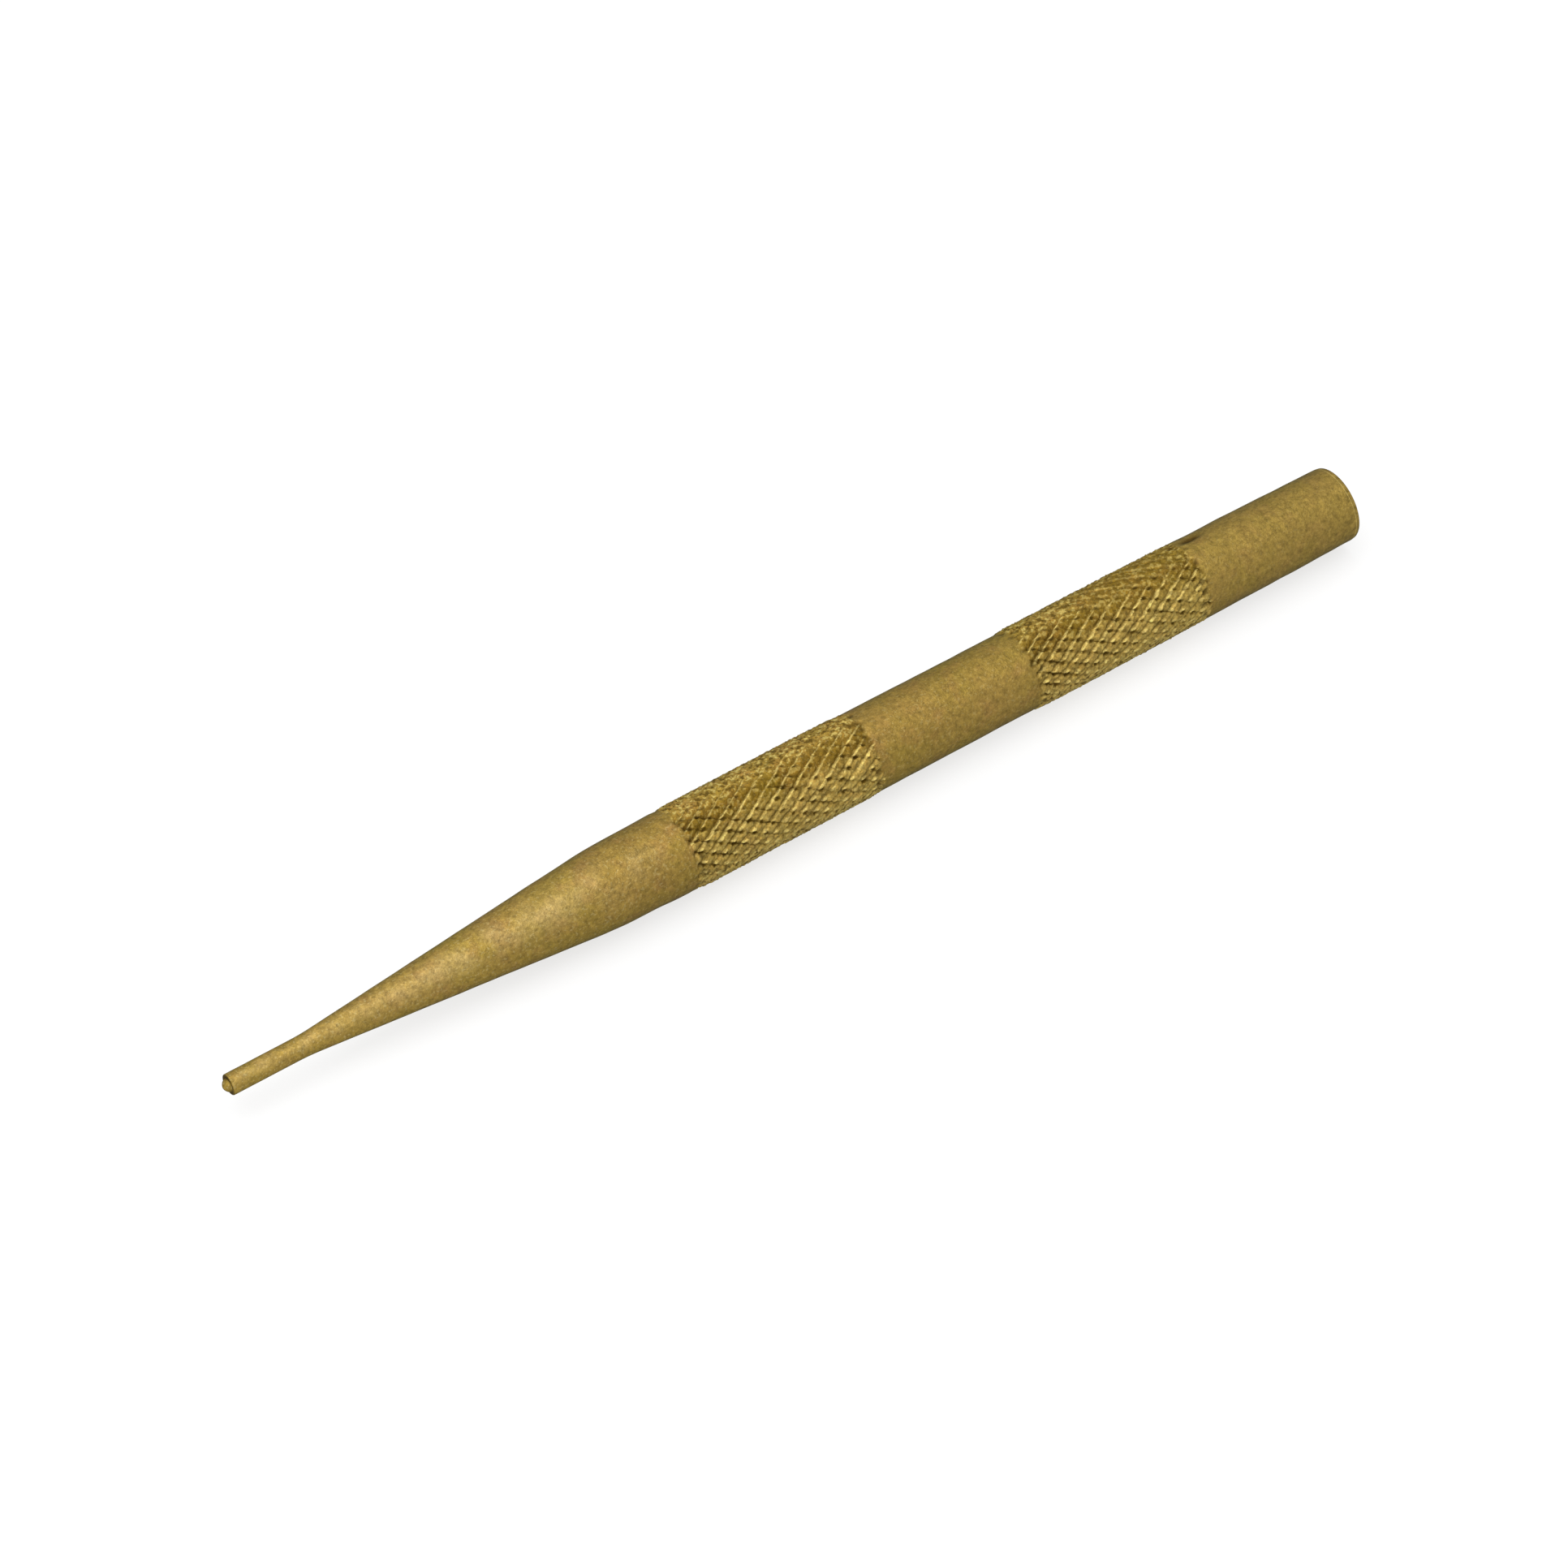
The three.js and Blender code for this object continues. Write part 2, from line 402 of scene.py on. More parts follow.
def pits(along, turn, first, last, seed):
    """Scattered pits of depth nought to one: round bells at random places between two stations of the bar,
    each with its own size and depth."""
    draw = np.random.default_rng(seed)
    places = draw.uniform(first, last, BLOWHOLES)
    middles = draw.uniform(0, FULL_TURN, BLOWHOLES)
    radii = draw.uniform(*BLOWHOLE_RADII, BLOWHOLES)
    depths = draw.uniform(SHALLOWEST_SHARE, 1, BLOWHOLES)
    total = np.zeros(np.broadcast(along, turn).shape)
    for place, middle, radius, depth in zip(places, middles, radii, depths):
        total = np.maximum(total, depth * spot(along, turn, place, radius, middle, radius))
    return total


def plain_radius(along):
    """Pin, straight taper and bar, with parabolas at their corners, plus the casting's swell."""
    slope = (BAR_RADIUS - PIN_RADIUS) / (TAPER_END - PIN_END)
    rise = ramp(along - PIN_END, TOE_BLEND) - ramp(along - TAPER_END, SHOULDER_BLEND)
    return PIN_RADIUS + slope * rise + eased(along, SWELL_PLACES, SWELL_HEIGHTS)


def mould_print(turn):
    """How deep the mould printed: fully on its two sides, and a small share of that round its parting lines.
    Between them it is a smooth S of the squared sine of the turn from a parting line."""
    opened = PRINT_GAIN * np.sin(turn - PARTING_TURN) ** 2 - PRINT_START
    return PARTING_SHARE + (1 - PARTING_SHARE) * smooth(opened)


def streaked(along, turn):
    """One in the middle of the rear knurl's drawn-out patch and nought away from it: a flat-topped bell,
    with fourth powers in place of squares."""
    off_along = (along - STREAK_ALONG) / STREAK_LENGTH
    off_turn = from_turn(turn, STREAK_TURN) / STREAK_WIDTH
    return np.exp(-(off_along**4) - off_turn**4)


def pitch_length(band):
    """One pitch along a band."""
    return (band.end - band.start - 2 * RUN_OUT) / band.pitches


class KnurlGrid:
    """Where the points of a band lie on its knurl, and how its grooves came out there. With p pitches in
    from the band's start and r rows round the bar, a wide groove runs where half of p + r is whole and a
    thin one where half of p - r is. Distances across are shares of a family's spacing, and wander."""

    def __init__(self, along, turn, band):
        self.along, self.turn, self.band = along, turn, band
        self.pitches_in = (along - band.start - RUN_OUT) / pitch_length(band)
        rows = turn / FULL_TURN * ROWS
        self.wide_count = (self.pitches_in + rows) / 2
        self.thin_count = (self.pitches_in - rows) / 2
        self.across_wide = self.wide_count - np.round(self.wide_count) + self.uneven(WIDE_WANDER)
        self.across_thin = self.thin_count - np.round(self.thin_count) + self.uneven(THIN_WANDER)
        past_ridge = self.across_wide - RIDGE_PLACE
        self.past_ridge = past_ridge - np.round(past_ridge)
        self.printed = mould_print(turn)
        self.streaked = streaked(along, turn)
        self.patchy = np.clip(1 + self.uneven(PATCHES), *PATCH_RANGE)
        bite = BITE + FIRST_BITE * np.exp(-np.maximum(self.pitches_in, 0) / FIRST_BITE_PITCHES)
        self.wide_bite = bite * (1 + self.uneven(WIDE_DEPTHS))
        self.thin_bite = bite * (1 + self.uneven(THIN_DEPTHS))

    def uneven(self, kind):
        """The band's own waves of a kind."""
        return waves(self.along, self.turn, kind, self.band.seed)


def v_groove(across, rising, falling):
    """One at a V groove's bottom, falling evenly to nought at a reach of its own on either side."""
    return np.clip(1 - np.maximum(across / rising, -across / falling), 0, 1)


def groove_depths(grid):
    """Depths of the wide and the thin grooves, as shares of the full depth: a V across the groove, times how
    well the mould printed it, times how deep it bites. The drawn-out patch keeps little of the wide ones."""
    wide = v_groove(grid.across_wide, BRIGHT_SHARE, DARK_SHARE)
    wide_left = grid.printed * (1 - WIDE_STREAK_LOSS * grid.streaked)
    lean = THIN_LEAN * np.sin(2 * (grid.turn - PARTING_TURN))
    thin = THIN_DEPTH_SHARE * v_groove(grid.across_thin, THIN_SHARE + lean, THIN_SHARE - lean)
    thin_left = np.maximum(grid.printed, THIN_STREAK_SHARE * grid.streaked)
    return wide * wide_left * grid.wide_bite, thin * thin_left * grid.thin_bite


def diamond_heights(grid):
    """How far each diamond stands proud: its own random height, plus its own random slope across each family
    of grooves, nought at its middle."""
    cells = grid.band.pitches + 2 * SPARE_CELLS
    draw = np.random.default_rng(grid.band.seed)
    heights, wide_tilts, thin_tilts = draw.normal(0, 1, (3, cells, ROWS))
    wide_cell, thin_cell = np.floor(grid.wide_count), np.floor(grid.thin_count)
    cell_along = np.clip((wide_cell + thin_cell).astype(int) + SPARE_CELLS, 0, cells - 1)
    cell_round = (wide_cell - thin_cell).astype(int) % ROWS
    tilt = wide_tilts[cell_along, cell_round] * (grid.wide_count - wide_cell - 0.5)
    tilt = tilt + thin_tilts[cell_along, cell_round] * (grid.thin_count - thin_cell - 0.5)
    return DIAMOND_UNEVENNESS * heights[cell_along, cell_round] + DIAMOND_TILT * tilt


def notches(grid):
    """Notches that the thin grooves cut just past the ridges: an even fall from the notch's middle both
    along and across the ridge, stronger in patches and where the thin groove bites. They are cut into the
    bar and also painted dark as shade."""
    cut = near(grid.past_ridge, NOTCH_PLACE, NOTCH_REACH) * near(grid.across_thin, 0, NOTCH_ACROSS)
    return NOTCH_STRENGTH * grid.patchy * cut * grid.thin_bite


def knurl_dirt_and_shade(grid, depth, thin_depth, notch):
    """Dirt and painted shade in the deep grooves, most where a thin one is deep, and a faint line of them
    along each thin groove. The ridges have none and the notches most. The drawn-out patch has them along its
    thin grooves."""
    thinness = np.clip(WIDE_DIRT_AND_SHADE + THIN_DIRT_AND_SHADE_GAIN * thin_depth, 0, 1)
    deep = np.clip(DIRT_AND_SHADE_GAIN * (depth - DIRT_AND_SHADE_START_SHARE), 0, 1) * thinness
    line = LINE_DIRT_AND_SHADE * near(grid.across_thin, 0, LINE_REACH) * grid.thin_bite
    off_ridge = 1 - near(grid.past_ridge, 0, RIDGE_REACH)
    dirt_and_shade = np.clip(np.maximum(deep, line) * off_ridge + notch, 0, 1) * grid.printed
    streaks = STREAK_DIRT_AND_SHADE * grid.patchy * grid.streaked * near(grid.across_thin, 0, STREAK_DIRT_AND_SHADE_REACH)
    return np.maximum(dirt_and_shade, streaks)


def ridge_burr_and_highlight(grid, broken):
    """Burr along the ridges, which also carries their painted highlight: an even fall across the ridge,
    broken along it, swelling just past each thin groove. On the low side it is left in dashes only, as
    painted highlights, and it fades where the mould printed faintly."""
    dash = np.clip(DASH_FULLNESS - np.abs(grid.across_thin - DASH_PLACE) / DASH_REACH, 0, 1)
    dashed = 1 - half_round(grid.turn, DASH_TURN, DASH_FADE) * (1 - dash)
    burr_and_highlight = broken * near(grid.past_ridge, 0, RIDGE_REACH) * dashed * (1 - grid.streaked)
    printed = np.clip(BURR_PRINT_GAIN * grid.printed - BURR_PRINT_START, 0, 1)
    swell = BURR_BASE + BURR_SWELL * near(grid.across_thin, BURR_SWELL_PLACE, BURR_SWELL_REACH)
    return np.clip(burr_and_highlight * printed * swell, 0, BURR_MOST)


def band_share(grid):
    """One inside the band and nought outside it, with a smooth step at each of its ragged ends, whose waves
    only run round the bar."""
    ragged = waves(0 * grid.along, grid.turn, RAGGED_ENDS, grid.band.seed)
    after_start = grid.pitches_in + OVERHANG_PITCHES + ragged
    before_end = grid.band.pitches + OVERHANG_PITCHES + ragged - grid.pitches_in
    return smooth(after_start / END_STEP_PITCHES) * smooth(before_end / END_STEP_PITCHES)


def knurl(along, turn, band):
    """Depth below the crests, share of the band, dirt with painted shade, wear with painted highlights and
    light, and print of a knurl. Where grooves cross, the depth is the deeper one's plus a share of the
    other's.
    Diamonds, grit, lumps and burr stand proud."""
    grid = KnurlGrid(along, turn, band)
    wide_depth, thin_depth = groove_depths(grid)
    depth = np.maximum(wide_depth, thin_depth) + CROSSING_SHARE * np.minimum(wide_depth, thin_depth)
    depth = np.clip(depth, 0, DEEPEST_SHARE)
    notch = notches(grid)
    dirt_and_shade = knurl_dirt_and_shade(grid, depth, thin_depth, notch)

    broken = np.clip(BURR_LEVEL + grid.uneven(BURR_BREAKS), *BURR_RANGE)
    burr_and_highlight = ridge_burr_and_highlight(grid, broken)
    streaks = grid.streaked * near(grid.across_thin, STREAK_WEAR_PLACE, STREAK_WEAR_REACH)
    lower = half_round(turn, LOWER_TURN, LOWER_FADE)
    # Painted highlights on the burr and painted light over the lower side, plus rubbing along the streaks
    wear_and_highlight = (burr_and_highlight + LOWER_SIDE_LIGHT * lower) * (1 - dirt_and_shade) + STREAK_WEAR * broken * streaks

    cut = GROOVE_DEPTH * depth + NOTCH_DEPTH * np.clip(notch, 0, 1) * grid.printed
    proud = grid.printed * (diamond_heights(grid) + grid.uneven(LUMPS)) + BURR_HEIGHT * burr_and_highlight
    proud = proud + (GRIT_SHARE - PRINTED_GRIT_LOSS * grid.printed) * grid.uneven(GRIT)
    return cut - proud, band_share(grid), dirt_and_shade, wear_and_highlight, np.maximum(grid.printed, grid.streaked)


def end_blowholes(along, turn, band):
    """Blowholes scattered about both ends of a band."""
    outside, inside = BLOWHOLES_OUTSIDE, BLOWHOLES_INSIDE
    first = pits(along, turn, band.start - outside, band.start + inside, band.seed + FIRST_END_SEED)
    last = pits(along, turn, band.end - inside, band.end + outside, band.seed + LAST_END_SEED)
    return np.maximum(first, last)


def dust_and_sheen_line(along, turn):
    """Pale dust and a painted sheen along the taper's upper side, with a spot of them on the shank. They
    fade along the bar by a smooth S, and away from their own line as a bell does."""
    line = np.exp(-((from_turn(turn, DUST_AND_SHEEN_TURN) / DUST_AND_SHEEN_WIDTH) ** 2))
    taper = line * smooth((DUST_AND_SHEEN_END - along) / DUST_AND_SHEEN_FADE)
    shank = spot(along, turn, SPOT_ALONG, SPOT_LENGTH, SPOT_TURN, SPOT_WIDTH)
    return np.maximum(DUST_AND_SHEEN_STRENGTH * taper, shank)


def bar_skin(along, turn):
    """Radius and marks of the bar: its plain radius, the knurled bands over it, and the casting's shallow
    hollows and pits. The marks are dirt with painted shade, wear with painted highlights and light,
    coarseness, tone, and dust with a painted sheen. It never leaves the square that the CAD's round bar
    fills."""
    radius = plain_radius(along) + 0 * turn
    dirt_and_shade, wear_and_highlight, coarse, tone = np.zeros((4, *radius.shape))
    crest = eased(along, CREST_PLACES, CREST_RADII)
    for band in (FRONT_KNURL, REAR_KNURL):
        relief, inside, band_dirt_and_shade, band_wear_and_highlight, printed = knurl(along, turn, band)
        blowholes = end_blowholes(along, turn, band)
        radius = radius + inside * (crest - relief - radius) - BLOWHOLE_DEPTH * blowholes
        # Blowholes darken the skin by their depth: dirt and painted shade in the pits
        dirt_and_shade = np.maximum(dirt_and_shade + inside * band_dirt_and_shade, blowholes)
        wear_and_highlight = wear_and_highlight + inside * band_wear_and_highlight
        coarse = coarse + inside * (1 - PRINTED_COARSE_LOSS * printed)
        tone = tone + inside * printed

    void = spot(along, turn, VOID_ALONG, VOID_LENGTH, VOID_TURN, VOID_WIDTH)
    radius = radius - VOID_DEPTH * void
    radius = radius + waves(along, turn, HOLLOWS) * np.clip(radius / BAR_RADIUS, 0, 1)
    # The void darkens the skin: dirt and painted shade
    dirt_and_shade = np.maximum(dirt_and_shade, np.clip(VOID_DIRT_AND_SHADE * void, 0, 1))
    widest = CREST_RADIUS / np.maximum(np.abs(np.sin(turn)), np.abs(np.cos(turn)))
    return np.minimum(radius, widest), np.stack([dirt_and_shade, wear_and_highlight, coarse, tone, dust_and_sheen_line(along, turn)])


def onto_bar(along, turn, radius):
    """Points at places along the bar, turned from the top towards -Y."""
    x = NOSE + along + 0 * turn
    return np.stack([x, -radius * np.sin(turn), AXIS_HEIGHT + radius * np.cos(turn)], axis=-1)


def turns(columns):
    """Evenly spaced angles round the bar."""
    return np.arange(columns) * FULL_TURN / columns


def steps(start, end, size):
    """Places from start up to, and without, end, evenly spaced by about size."""
    count = max(1, round((end - start) / size))
    return start + (end - start) * np.arange(count) / count


def bar_rings(along, columns):
    """Rings of the bar's skin at places along it."""
    radius, marks = bar_skin(along[:, None], turns(columns)[None, :])
    return onto_bar(along[:, None], turns(columns)[None, :], radius), marks


def outline_rings(outline, columns):
    """Rings turned from outline points [along, radius, dirt and painted shade, wear and painted highlight],
    round and plain, but for the painted light that lifts the shade on one side.
    """
    along, radius, dirt_and_shade, wear_and_highlight = np.array(outline).T[:, :, None] + np.zeros(columns)
    rings = onto_bar(along, turns(columns)[None, :], radius)
    return rings, np.stack([dirt_and_shade * dirt_and_shade_left(turns(columns)), wear_and_highlight, *np.zeros((3, *dirt_and_shade.shape))])


def dirt_and_shade_left(turn):
    """What is left of the dirt and painted shade on an end: all of it, but for a bell of painted light that
    faces up and to -Y.
    """
    return 1 - LIT_SHARE * np.exp(-((from_turn(turn, LIT_TURN) / LIT_WIDTH) ** 2))


def quarter_turn():
    """Angles of a rounded edge, from one of its flats to the other."""
    return np.linspace(0, math.pi / 2, ROUNDING_STEPS)


def nose_outline():
    """A blunt dome for a pilot, a crease, the flat ring that drives a hollow pin, and the pin's rounded
    edge. With x the share of the dome's length, its radius is its base's times 1 - (1 - x) to the power of
    its bluntness, all to the power of its fullness."""
    dome = [
        (
            PILOT_START + x * (PILOT_END - PILOT_START),
            PILOT_RADIUS * (1 - (1 - x) ** DOME_BLUNTNESS) ** DOME_FULLNESS,
            DOME_TIP_DIRT + DOME_FOOT_DIRT_AND_SHADE * x**3,
            0,
        )
        for x in DOME_SHARES
    ]
    # Crease and ring fully dark: dirt and painted shade
    ring = [
        (PILOT_END + CREASE_WIDTH, PILOT_RADIUS + CREASE_WIDTH, 1, 0),
        (PILOT_END, PILOT_RADIUS + CREASE_REACH, 1, 0),
        (PILOT_END, PIN_RADIUS - PIN_EDGE - RING_INSET, 1, 0),
    ]
    # Pin's rounded edge: painted shade towards the ring, wear and a painted highlight towards the pin
    edge = [
        (
            PILOT_END + PIN_EDGE * (1 - math.cos(t)),
            PIN_RADIUS - PIN_EDGE * (1 - math.sin(t)),
            math.cos(t),
            PIN_EDGE_WEAR_AND_HIGHLIGHT * math.sin(t) ** 4,
        )
        for t in quarter_turn()
    ]
    return dome + ring + edge


def head_outline(radius):
    """A rubbed line with a painted highlight, a slightly drawn-in rim after it with a small rounded edge,
    and the flat struck face down to a small ring round its middle."""
    start = LENGTH - RIM_LENGTH
    outer = radius - RIM_DROP
    line = [
        (start + share * RIM_LENGTH, radius - RUBBED_LINE_DROP_SHARE * share * RIM_DROP, 0, wear_and_highlight)
        for share, wear_and_highlight in RUBBED_HIGHLIGHT_LINE
    ]
    rim = [(LENGTH - EDGE_START_SHARE * RIM_EDGE, outer + EDGE_START_DROP_SHARE * RIM_DROP, RIM_DIRT, 0)]
    edge = [
        (
            LENGTH - RIM_EDGE * (1 - math.sin(t)),
            outer - RIM_EDGE * (1 - math.cos(t)),
            EDGE_DIRT,
            EDGE_WEAR,
        )
        for t in quarter_turn()
    ]
    return line + rim + edge + [(LENGTH, (outer - RIM_EDGE) * share, 0, 0) for share in FACE_RING_SHARES]


def grid_faces(first, rings, columns, split):
    """Triangles between successive rings. split says which diagonal each cell takes."""
    ring = np.arange(rings - 1)[:, None]
    column = np.arange(columns)[None, :]
    here = first + ring * columns + column
    beside = first + ring * columns + (column + 1) % columns
    ahead, diagonal = here + columns, beside + columns
    one = np.stack([here, diagonal, ahead, here, beside, diagonal], axis=-1)
    other = np.stack([here, beside, ahead, beside, diagonal, ahead], axis=-1)
    return np.where(split[:, :, None], one, other).reshape(-1, 3)


def join_faces(near_ring, near_columns, far_ring, far_columns):
    """Triangles between two rings, where one may have twice the columns of the other."""
    if near_columns == far_columns:
        column = np.arange(near_columns)
        beside = (column + 1) % near_columns
        return np.concatenate([
            np.stack([near_ring + column, near_ring + beside, far_ring + beside], axis=-1),
            np.stack([near_ring + column, far_ring + beside, far_ring + column], axis=-1),
        ])
    widening = near_columns < far_columns
    few, many = (near_ring, far_ring) if widening else (far_ring, near_ring)
    column = np.arange(min(near_columns, far_columns))
    beside = (column + 1) % len(column)
    first, middle, last = 2 * column, 2 * column + 1, 2 * beside
    faces = np.concatenate([
        np.stack([few + column, many + middle, many + first], axis=-1),
        np.stack([few + column, few + beside, many + middle], axis=-1),
        np.stack([few + beside, many + last, many + middle], axis=-1),
    ])
    return faces if widening else faces[:, ::-1]


def pole_faces(pole, ring, columns):
    """A fan of triangles from one point to a ring."""
    column = np.arange(columns)
    return np.stack([np.full(columns, pole), ring + (column + 1) % columns, ring + column], axis=-1)


def plain_split(along, columns):
    """Every cell's diagonal the same way."""
    return np.ones((len(along) - 1, columns), bool)


def knurl_split(along, band):
    """Cells in a thin groove have their diagonal along it, and the rest along the wide family."""
    pitches_in = (along[:-1] - band.start - RUN_OUT) / pitch_length(band) + 0.5 / STEPS_IN_PITCH
    rows = (np.arange(FINE_COLUMNS) + 0.5) / STEPS_IN_PITCH
    thin_count = (pitches_in[:, None] - rows[None, :]) / 2
    return np.abs(thin_count - np.round(thin_count)) < THIN_SHARE


def knurl_places(band):
    """Places along a knurled band and the fine stretches beside it, a whole number of steps to a pitch."""
    count = (band.fine_before + band.pitches + band.fine_after) * STEPS_IN_PITCH + 1
    pitches_in = np.arange(count) / STEPS_IN_PITCH - band.fine_before
    return band.start + RUN_OUT + pitch_length(band) * pitches_in


def punch_bands():
    """Stretches of the skin from nose to head, each as rings and the diagonals of their cells. Neighbours
    have equal columns, or twice or half as many."""
    front, rear = knurl_places(FRONT_KNURL), knurl_places(REAR_KNURL)
    rim = LENGTH - RIM_LENGTH
    half, quarter = FINE_COLUMNS // 2, FINE_COLUMNS // 4
    nose = nose_outline()
    pin = steps(PIN_START, PIN_END - TOE_BLEND, PIN_STEP)
    taper = steps(PIN_END - TOE_BLEND, front[0], PLAIN_STEP)
    middle = steps(front[-1], rear[0], PLAIN_STEP)[1:]
    shank = steps(rear[-1], rim, PLAIN_STEP)[1:]
    head = head_outline(float(plain_radius(np.array(rim))))
    return [
        (outline_rings(nose, quarter), plain_split(nose, quarter)),
        (bar_rings(pin, quarter), plain_split(pin, quarter)),
        (bar_rings(taper, half), plain_split(taper, half)),
        (bar_rings(front, FINE_COLUMNS), knurl_split(front, FRONT_KNURL)),
        (bar_rings(middle, half), plain_split(middle, half)),
        (bar_rings(rear, FINE_COLUMNS), knurl_split(rear, REAR_KNURL)),
        (bar_rings(shank, half), plain_split(shank, half)),
        (outline_rings(head, half), plain_split(head, half)),
    ]


def punch_surface():
    """The whole punch as one closed skin: its bands joined end to end, with a pole at each end."""
    points, marks, faces = [], [], []
    first, last_ring, last_columns = 0, None, None
    for (ring_points, ring_marks), split in punch_bands():
        rings, columns = ring_marks.shape[1:]
        faces.append(grid_faces(first, rings, columns, split))
        if last_ring is not None:
            faces.append(join_faces(last_ring, last_columns, first, columns))
        points.append(ring_points.reshape(-1, 3))
        marks.append(ring_marks.reshape(len(MARKS), -1))
        first += rings * columns
        last_ring, last_columns = first - columns, columns
    points.append(np.array([[NOSE + PILOT_START, 0, AXIS_HEIGHT], [NOSE + LENGTH, 0, AXIS_HEIGHT]]))
    marks.append(np.zeros((len(MARKS), 2)))
    faces.append(pole_faces(first, 0, FINE_COLUMNS // 4))
    faces.append(pole_faces(first + 1, last_ring, last_columns)[:, ::-1])
    return np.concatenate(points), np.concatenate(marks, axis=1), np.concatenate(faces)


def make_punch():
    """The skin as a smooth mesh, with its marks kept for the bronze."""
    points, marks, faces = punch_surface()
    mesh = bpy.data.meshes.new("cast_punch")
    mesh.from_pydata(points.tolist(), [], faces.tolist())
    mesh.polygons.foreach_set("use_smooth", np.ones(len(faces), bool))
    for name, values in zip(MARKS, marks):
        mesh.attributes.new(name, "FLOAT", "POINT").data.foreach_set("value", values.astype(np.float32))
    mesh.update()
    punch = bpy.data.objects.new("cast_punch", mesh)
    bpy.context.collection.objects.link(punch)
    punch.data.materials.append(cast_bronze())
    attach(punch, "root")
    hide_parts("punch_body")
    return punch


def node(tree, kind, **values):
    """A node with the given properties, or inputs where the name is an input's."""
    made = tree.nodes.new(kind)
    for name, value in values.items():
        if name in made.inputs:
            made.inputs[name].default_value = value
        else:
            setattr(made, name, value)
    return made


def noise(tree, place, kind):
    """The noise of a pattern or a grain, on the piece's own place."""
    made = node(tree, "ShaderNodeTexNoise", Scale=kind.scale, Detail=kind.detail, Roughness=kind.roughness)
    tree.links.new(place, made.inputs["Vector"])
    return made.outputs["Fac"]


def remap(tree, value, start, end, low_value, high_value):
    """A value stretched from one range to another, and held at its ends."""
    made = node(tree, "ShaderNodeMapRange")
    made.clamp = True
    numbers = (start, end, low_value, high_value)
    for socket, number in zip(("From Min", "From Max", "To Min", "To Max"), numbers):
        made.inputs[socket].default_value = number
    tree.links.new(value, made.inputs["Value"])
    return made.outputs["Result"]


def pattern(tree, place, kind):
    """A pattern's noise, stretched to run between its two values."""
    return remap(tree, noise(tree, place, kind), kind.start, kind.end, kind.first, kind.last)


def combine(tree, operation, first, second):
    """Two values added, multiplied or the like. The second may be a plain number."""
    made = node(tree, "ShaderNodeMath", operation=operation)
    tree.links.new(first, made.inputs[0])
    if isinstance(second, float):
        made.inputs[1].default_value = second
    else:
        tree.links.new(second, made.inputs[1])
    return made.outputs[0]


def blend_colours(tree, share, below, above, how="MIX"):
    """Two colours mixed by a share. Each is a colour or another node's output."""
    made = node(tree, "ShaderNodeMix", data_type="RGBA", blend_type=how)
    if isinstance(share, float):
        made.inputs["Factor"].default_value = share
    else:
        tree.links.new(share, made.inputs["Factor"])
    for socket, colour in ((made.inputs[6], below), (made.inputs[7], above)):
        if isinstance(colour, tuple):
            socket.default_value = (*colour, 1)
        else:
            tree.links.new(colour, socket)
    return made.outputs[2]


def mark(tree, name):
    """One of the skin's own marks."""
    return node(tree, "ShaderNodeAttribute", attribute_name=name).outputs["Fac"]


def bar_x(tree, place):
    """X, which runs along the bar and is nought halfway."""
    axes = node(tree, "ShaderNodeSeparateXYZ")
    tree.links.new(place, axes.inputs[0])
    return axes.outputs["X"]


def cast_clouds(tree, place):
    """Olive gold with yellower clouds, rusty ones, and paler ones where the skin carries dust and a painted
    sheen.
    """
    colour = blend_colours(tree, pattern(tree, place, CLOUDS), OLIVE_GOLD, YELLOW_GOLD)
    colour = blend_colours(tree, pattern(tree, place, RUST_SPOTS), colour, RUST)
    dust_and_sheen = combine(tree, "MULTIPLY", pattern(tree, place, DUST_AND_SHEEN_SPOTS), mark(tree, "dust_and_sheen"))
    return blend_colours(tree, dust_and_sheen, colour, PALE_DUST_AND_SHEEN)


def toned_along(tree, x, colour):
    """The colour made a little darker towards the head and brighter towards the nose, as painted light
    falling off along the bar, brighter still over the pin and taper, and calmer towards the head.
    """
    light_falloff = remap(tree, x, NOSE, -NOSE, *NOSE_TO_HEAD_LIGHT_FALLOFF)
    brighter = remap(tree, x, NOSE, NOSE + TAPER_END, *TAPER_TONE)
    colour = blend_colours(tree, 1.0, colour, combine(tree, "MULTIPLY", light_falloff, brighter), "MULTIPLY")
    return blend_colours(tree, remap(tree, x, 0, -NOSE, 0, HEAD_CALM), colour, HEAD_BRONZE)


def knurl_toned(tree, colour):
    """The colour made brighter where the skin is coarse, as painted light, deeper and yellower where it is
    knurled, partly as painted shade, and gold where it carries wear and painted highlights."""
    colour = blend_colours(tree, mark(tree, "coarse"), colour, COARSE_LIGHT_TINT, "MULTIPLY")
    colour = blend_colours(tree, mark(tree, "tone"), colour, KNURL_TONE_AND_SHADE_TINT, "MULTIPLY")
    rubbed_and_highlit = remap(tree, mark(tree, "wear_and_highlight"), MARK_START, 1, 0, WEAR_AND_HIGHLIGHT_STRENGTH)
    return blend_colours(tree, rubbed_and_highlit, colour, RUBBED_AND_HIGHLIGHT_GOLD)


def speckled(tree, place, x, colour):
    """The colour times a fine speckle and a soft mottle, with pale flecks, fewer towards the head."""
    strength = remap(tree, mark(tree, "tone"), 0, 1, *PLAIN_TO_KNURL_SPECKLE)
    colour = blend_colours(tree, strength, colour, pattern(tree, place, SPECKLE), "MULTIPLY")
    colour = blend_colours(tree, 1.0, colour, pattern(tree, place, MOTTLE), "MULTIPLY")
    fewer = remap(tree, x, NOSE, -NOSE, *NOSE_TO_HEAD_FLECKS)
    flecks = combine(tree, "MULTIPLY", pattern(tree, place, FLECKS), fewer)
    return blend_colours(tree, flecks, colour, FLECK_GOLD)


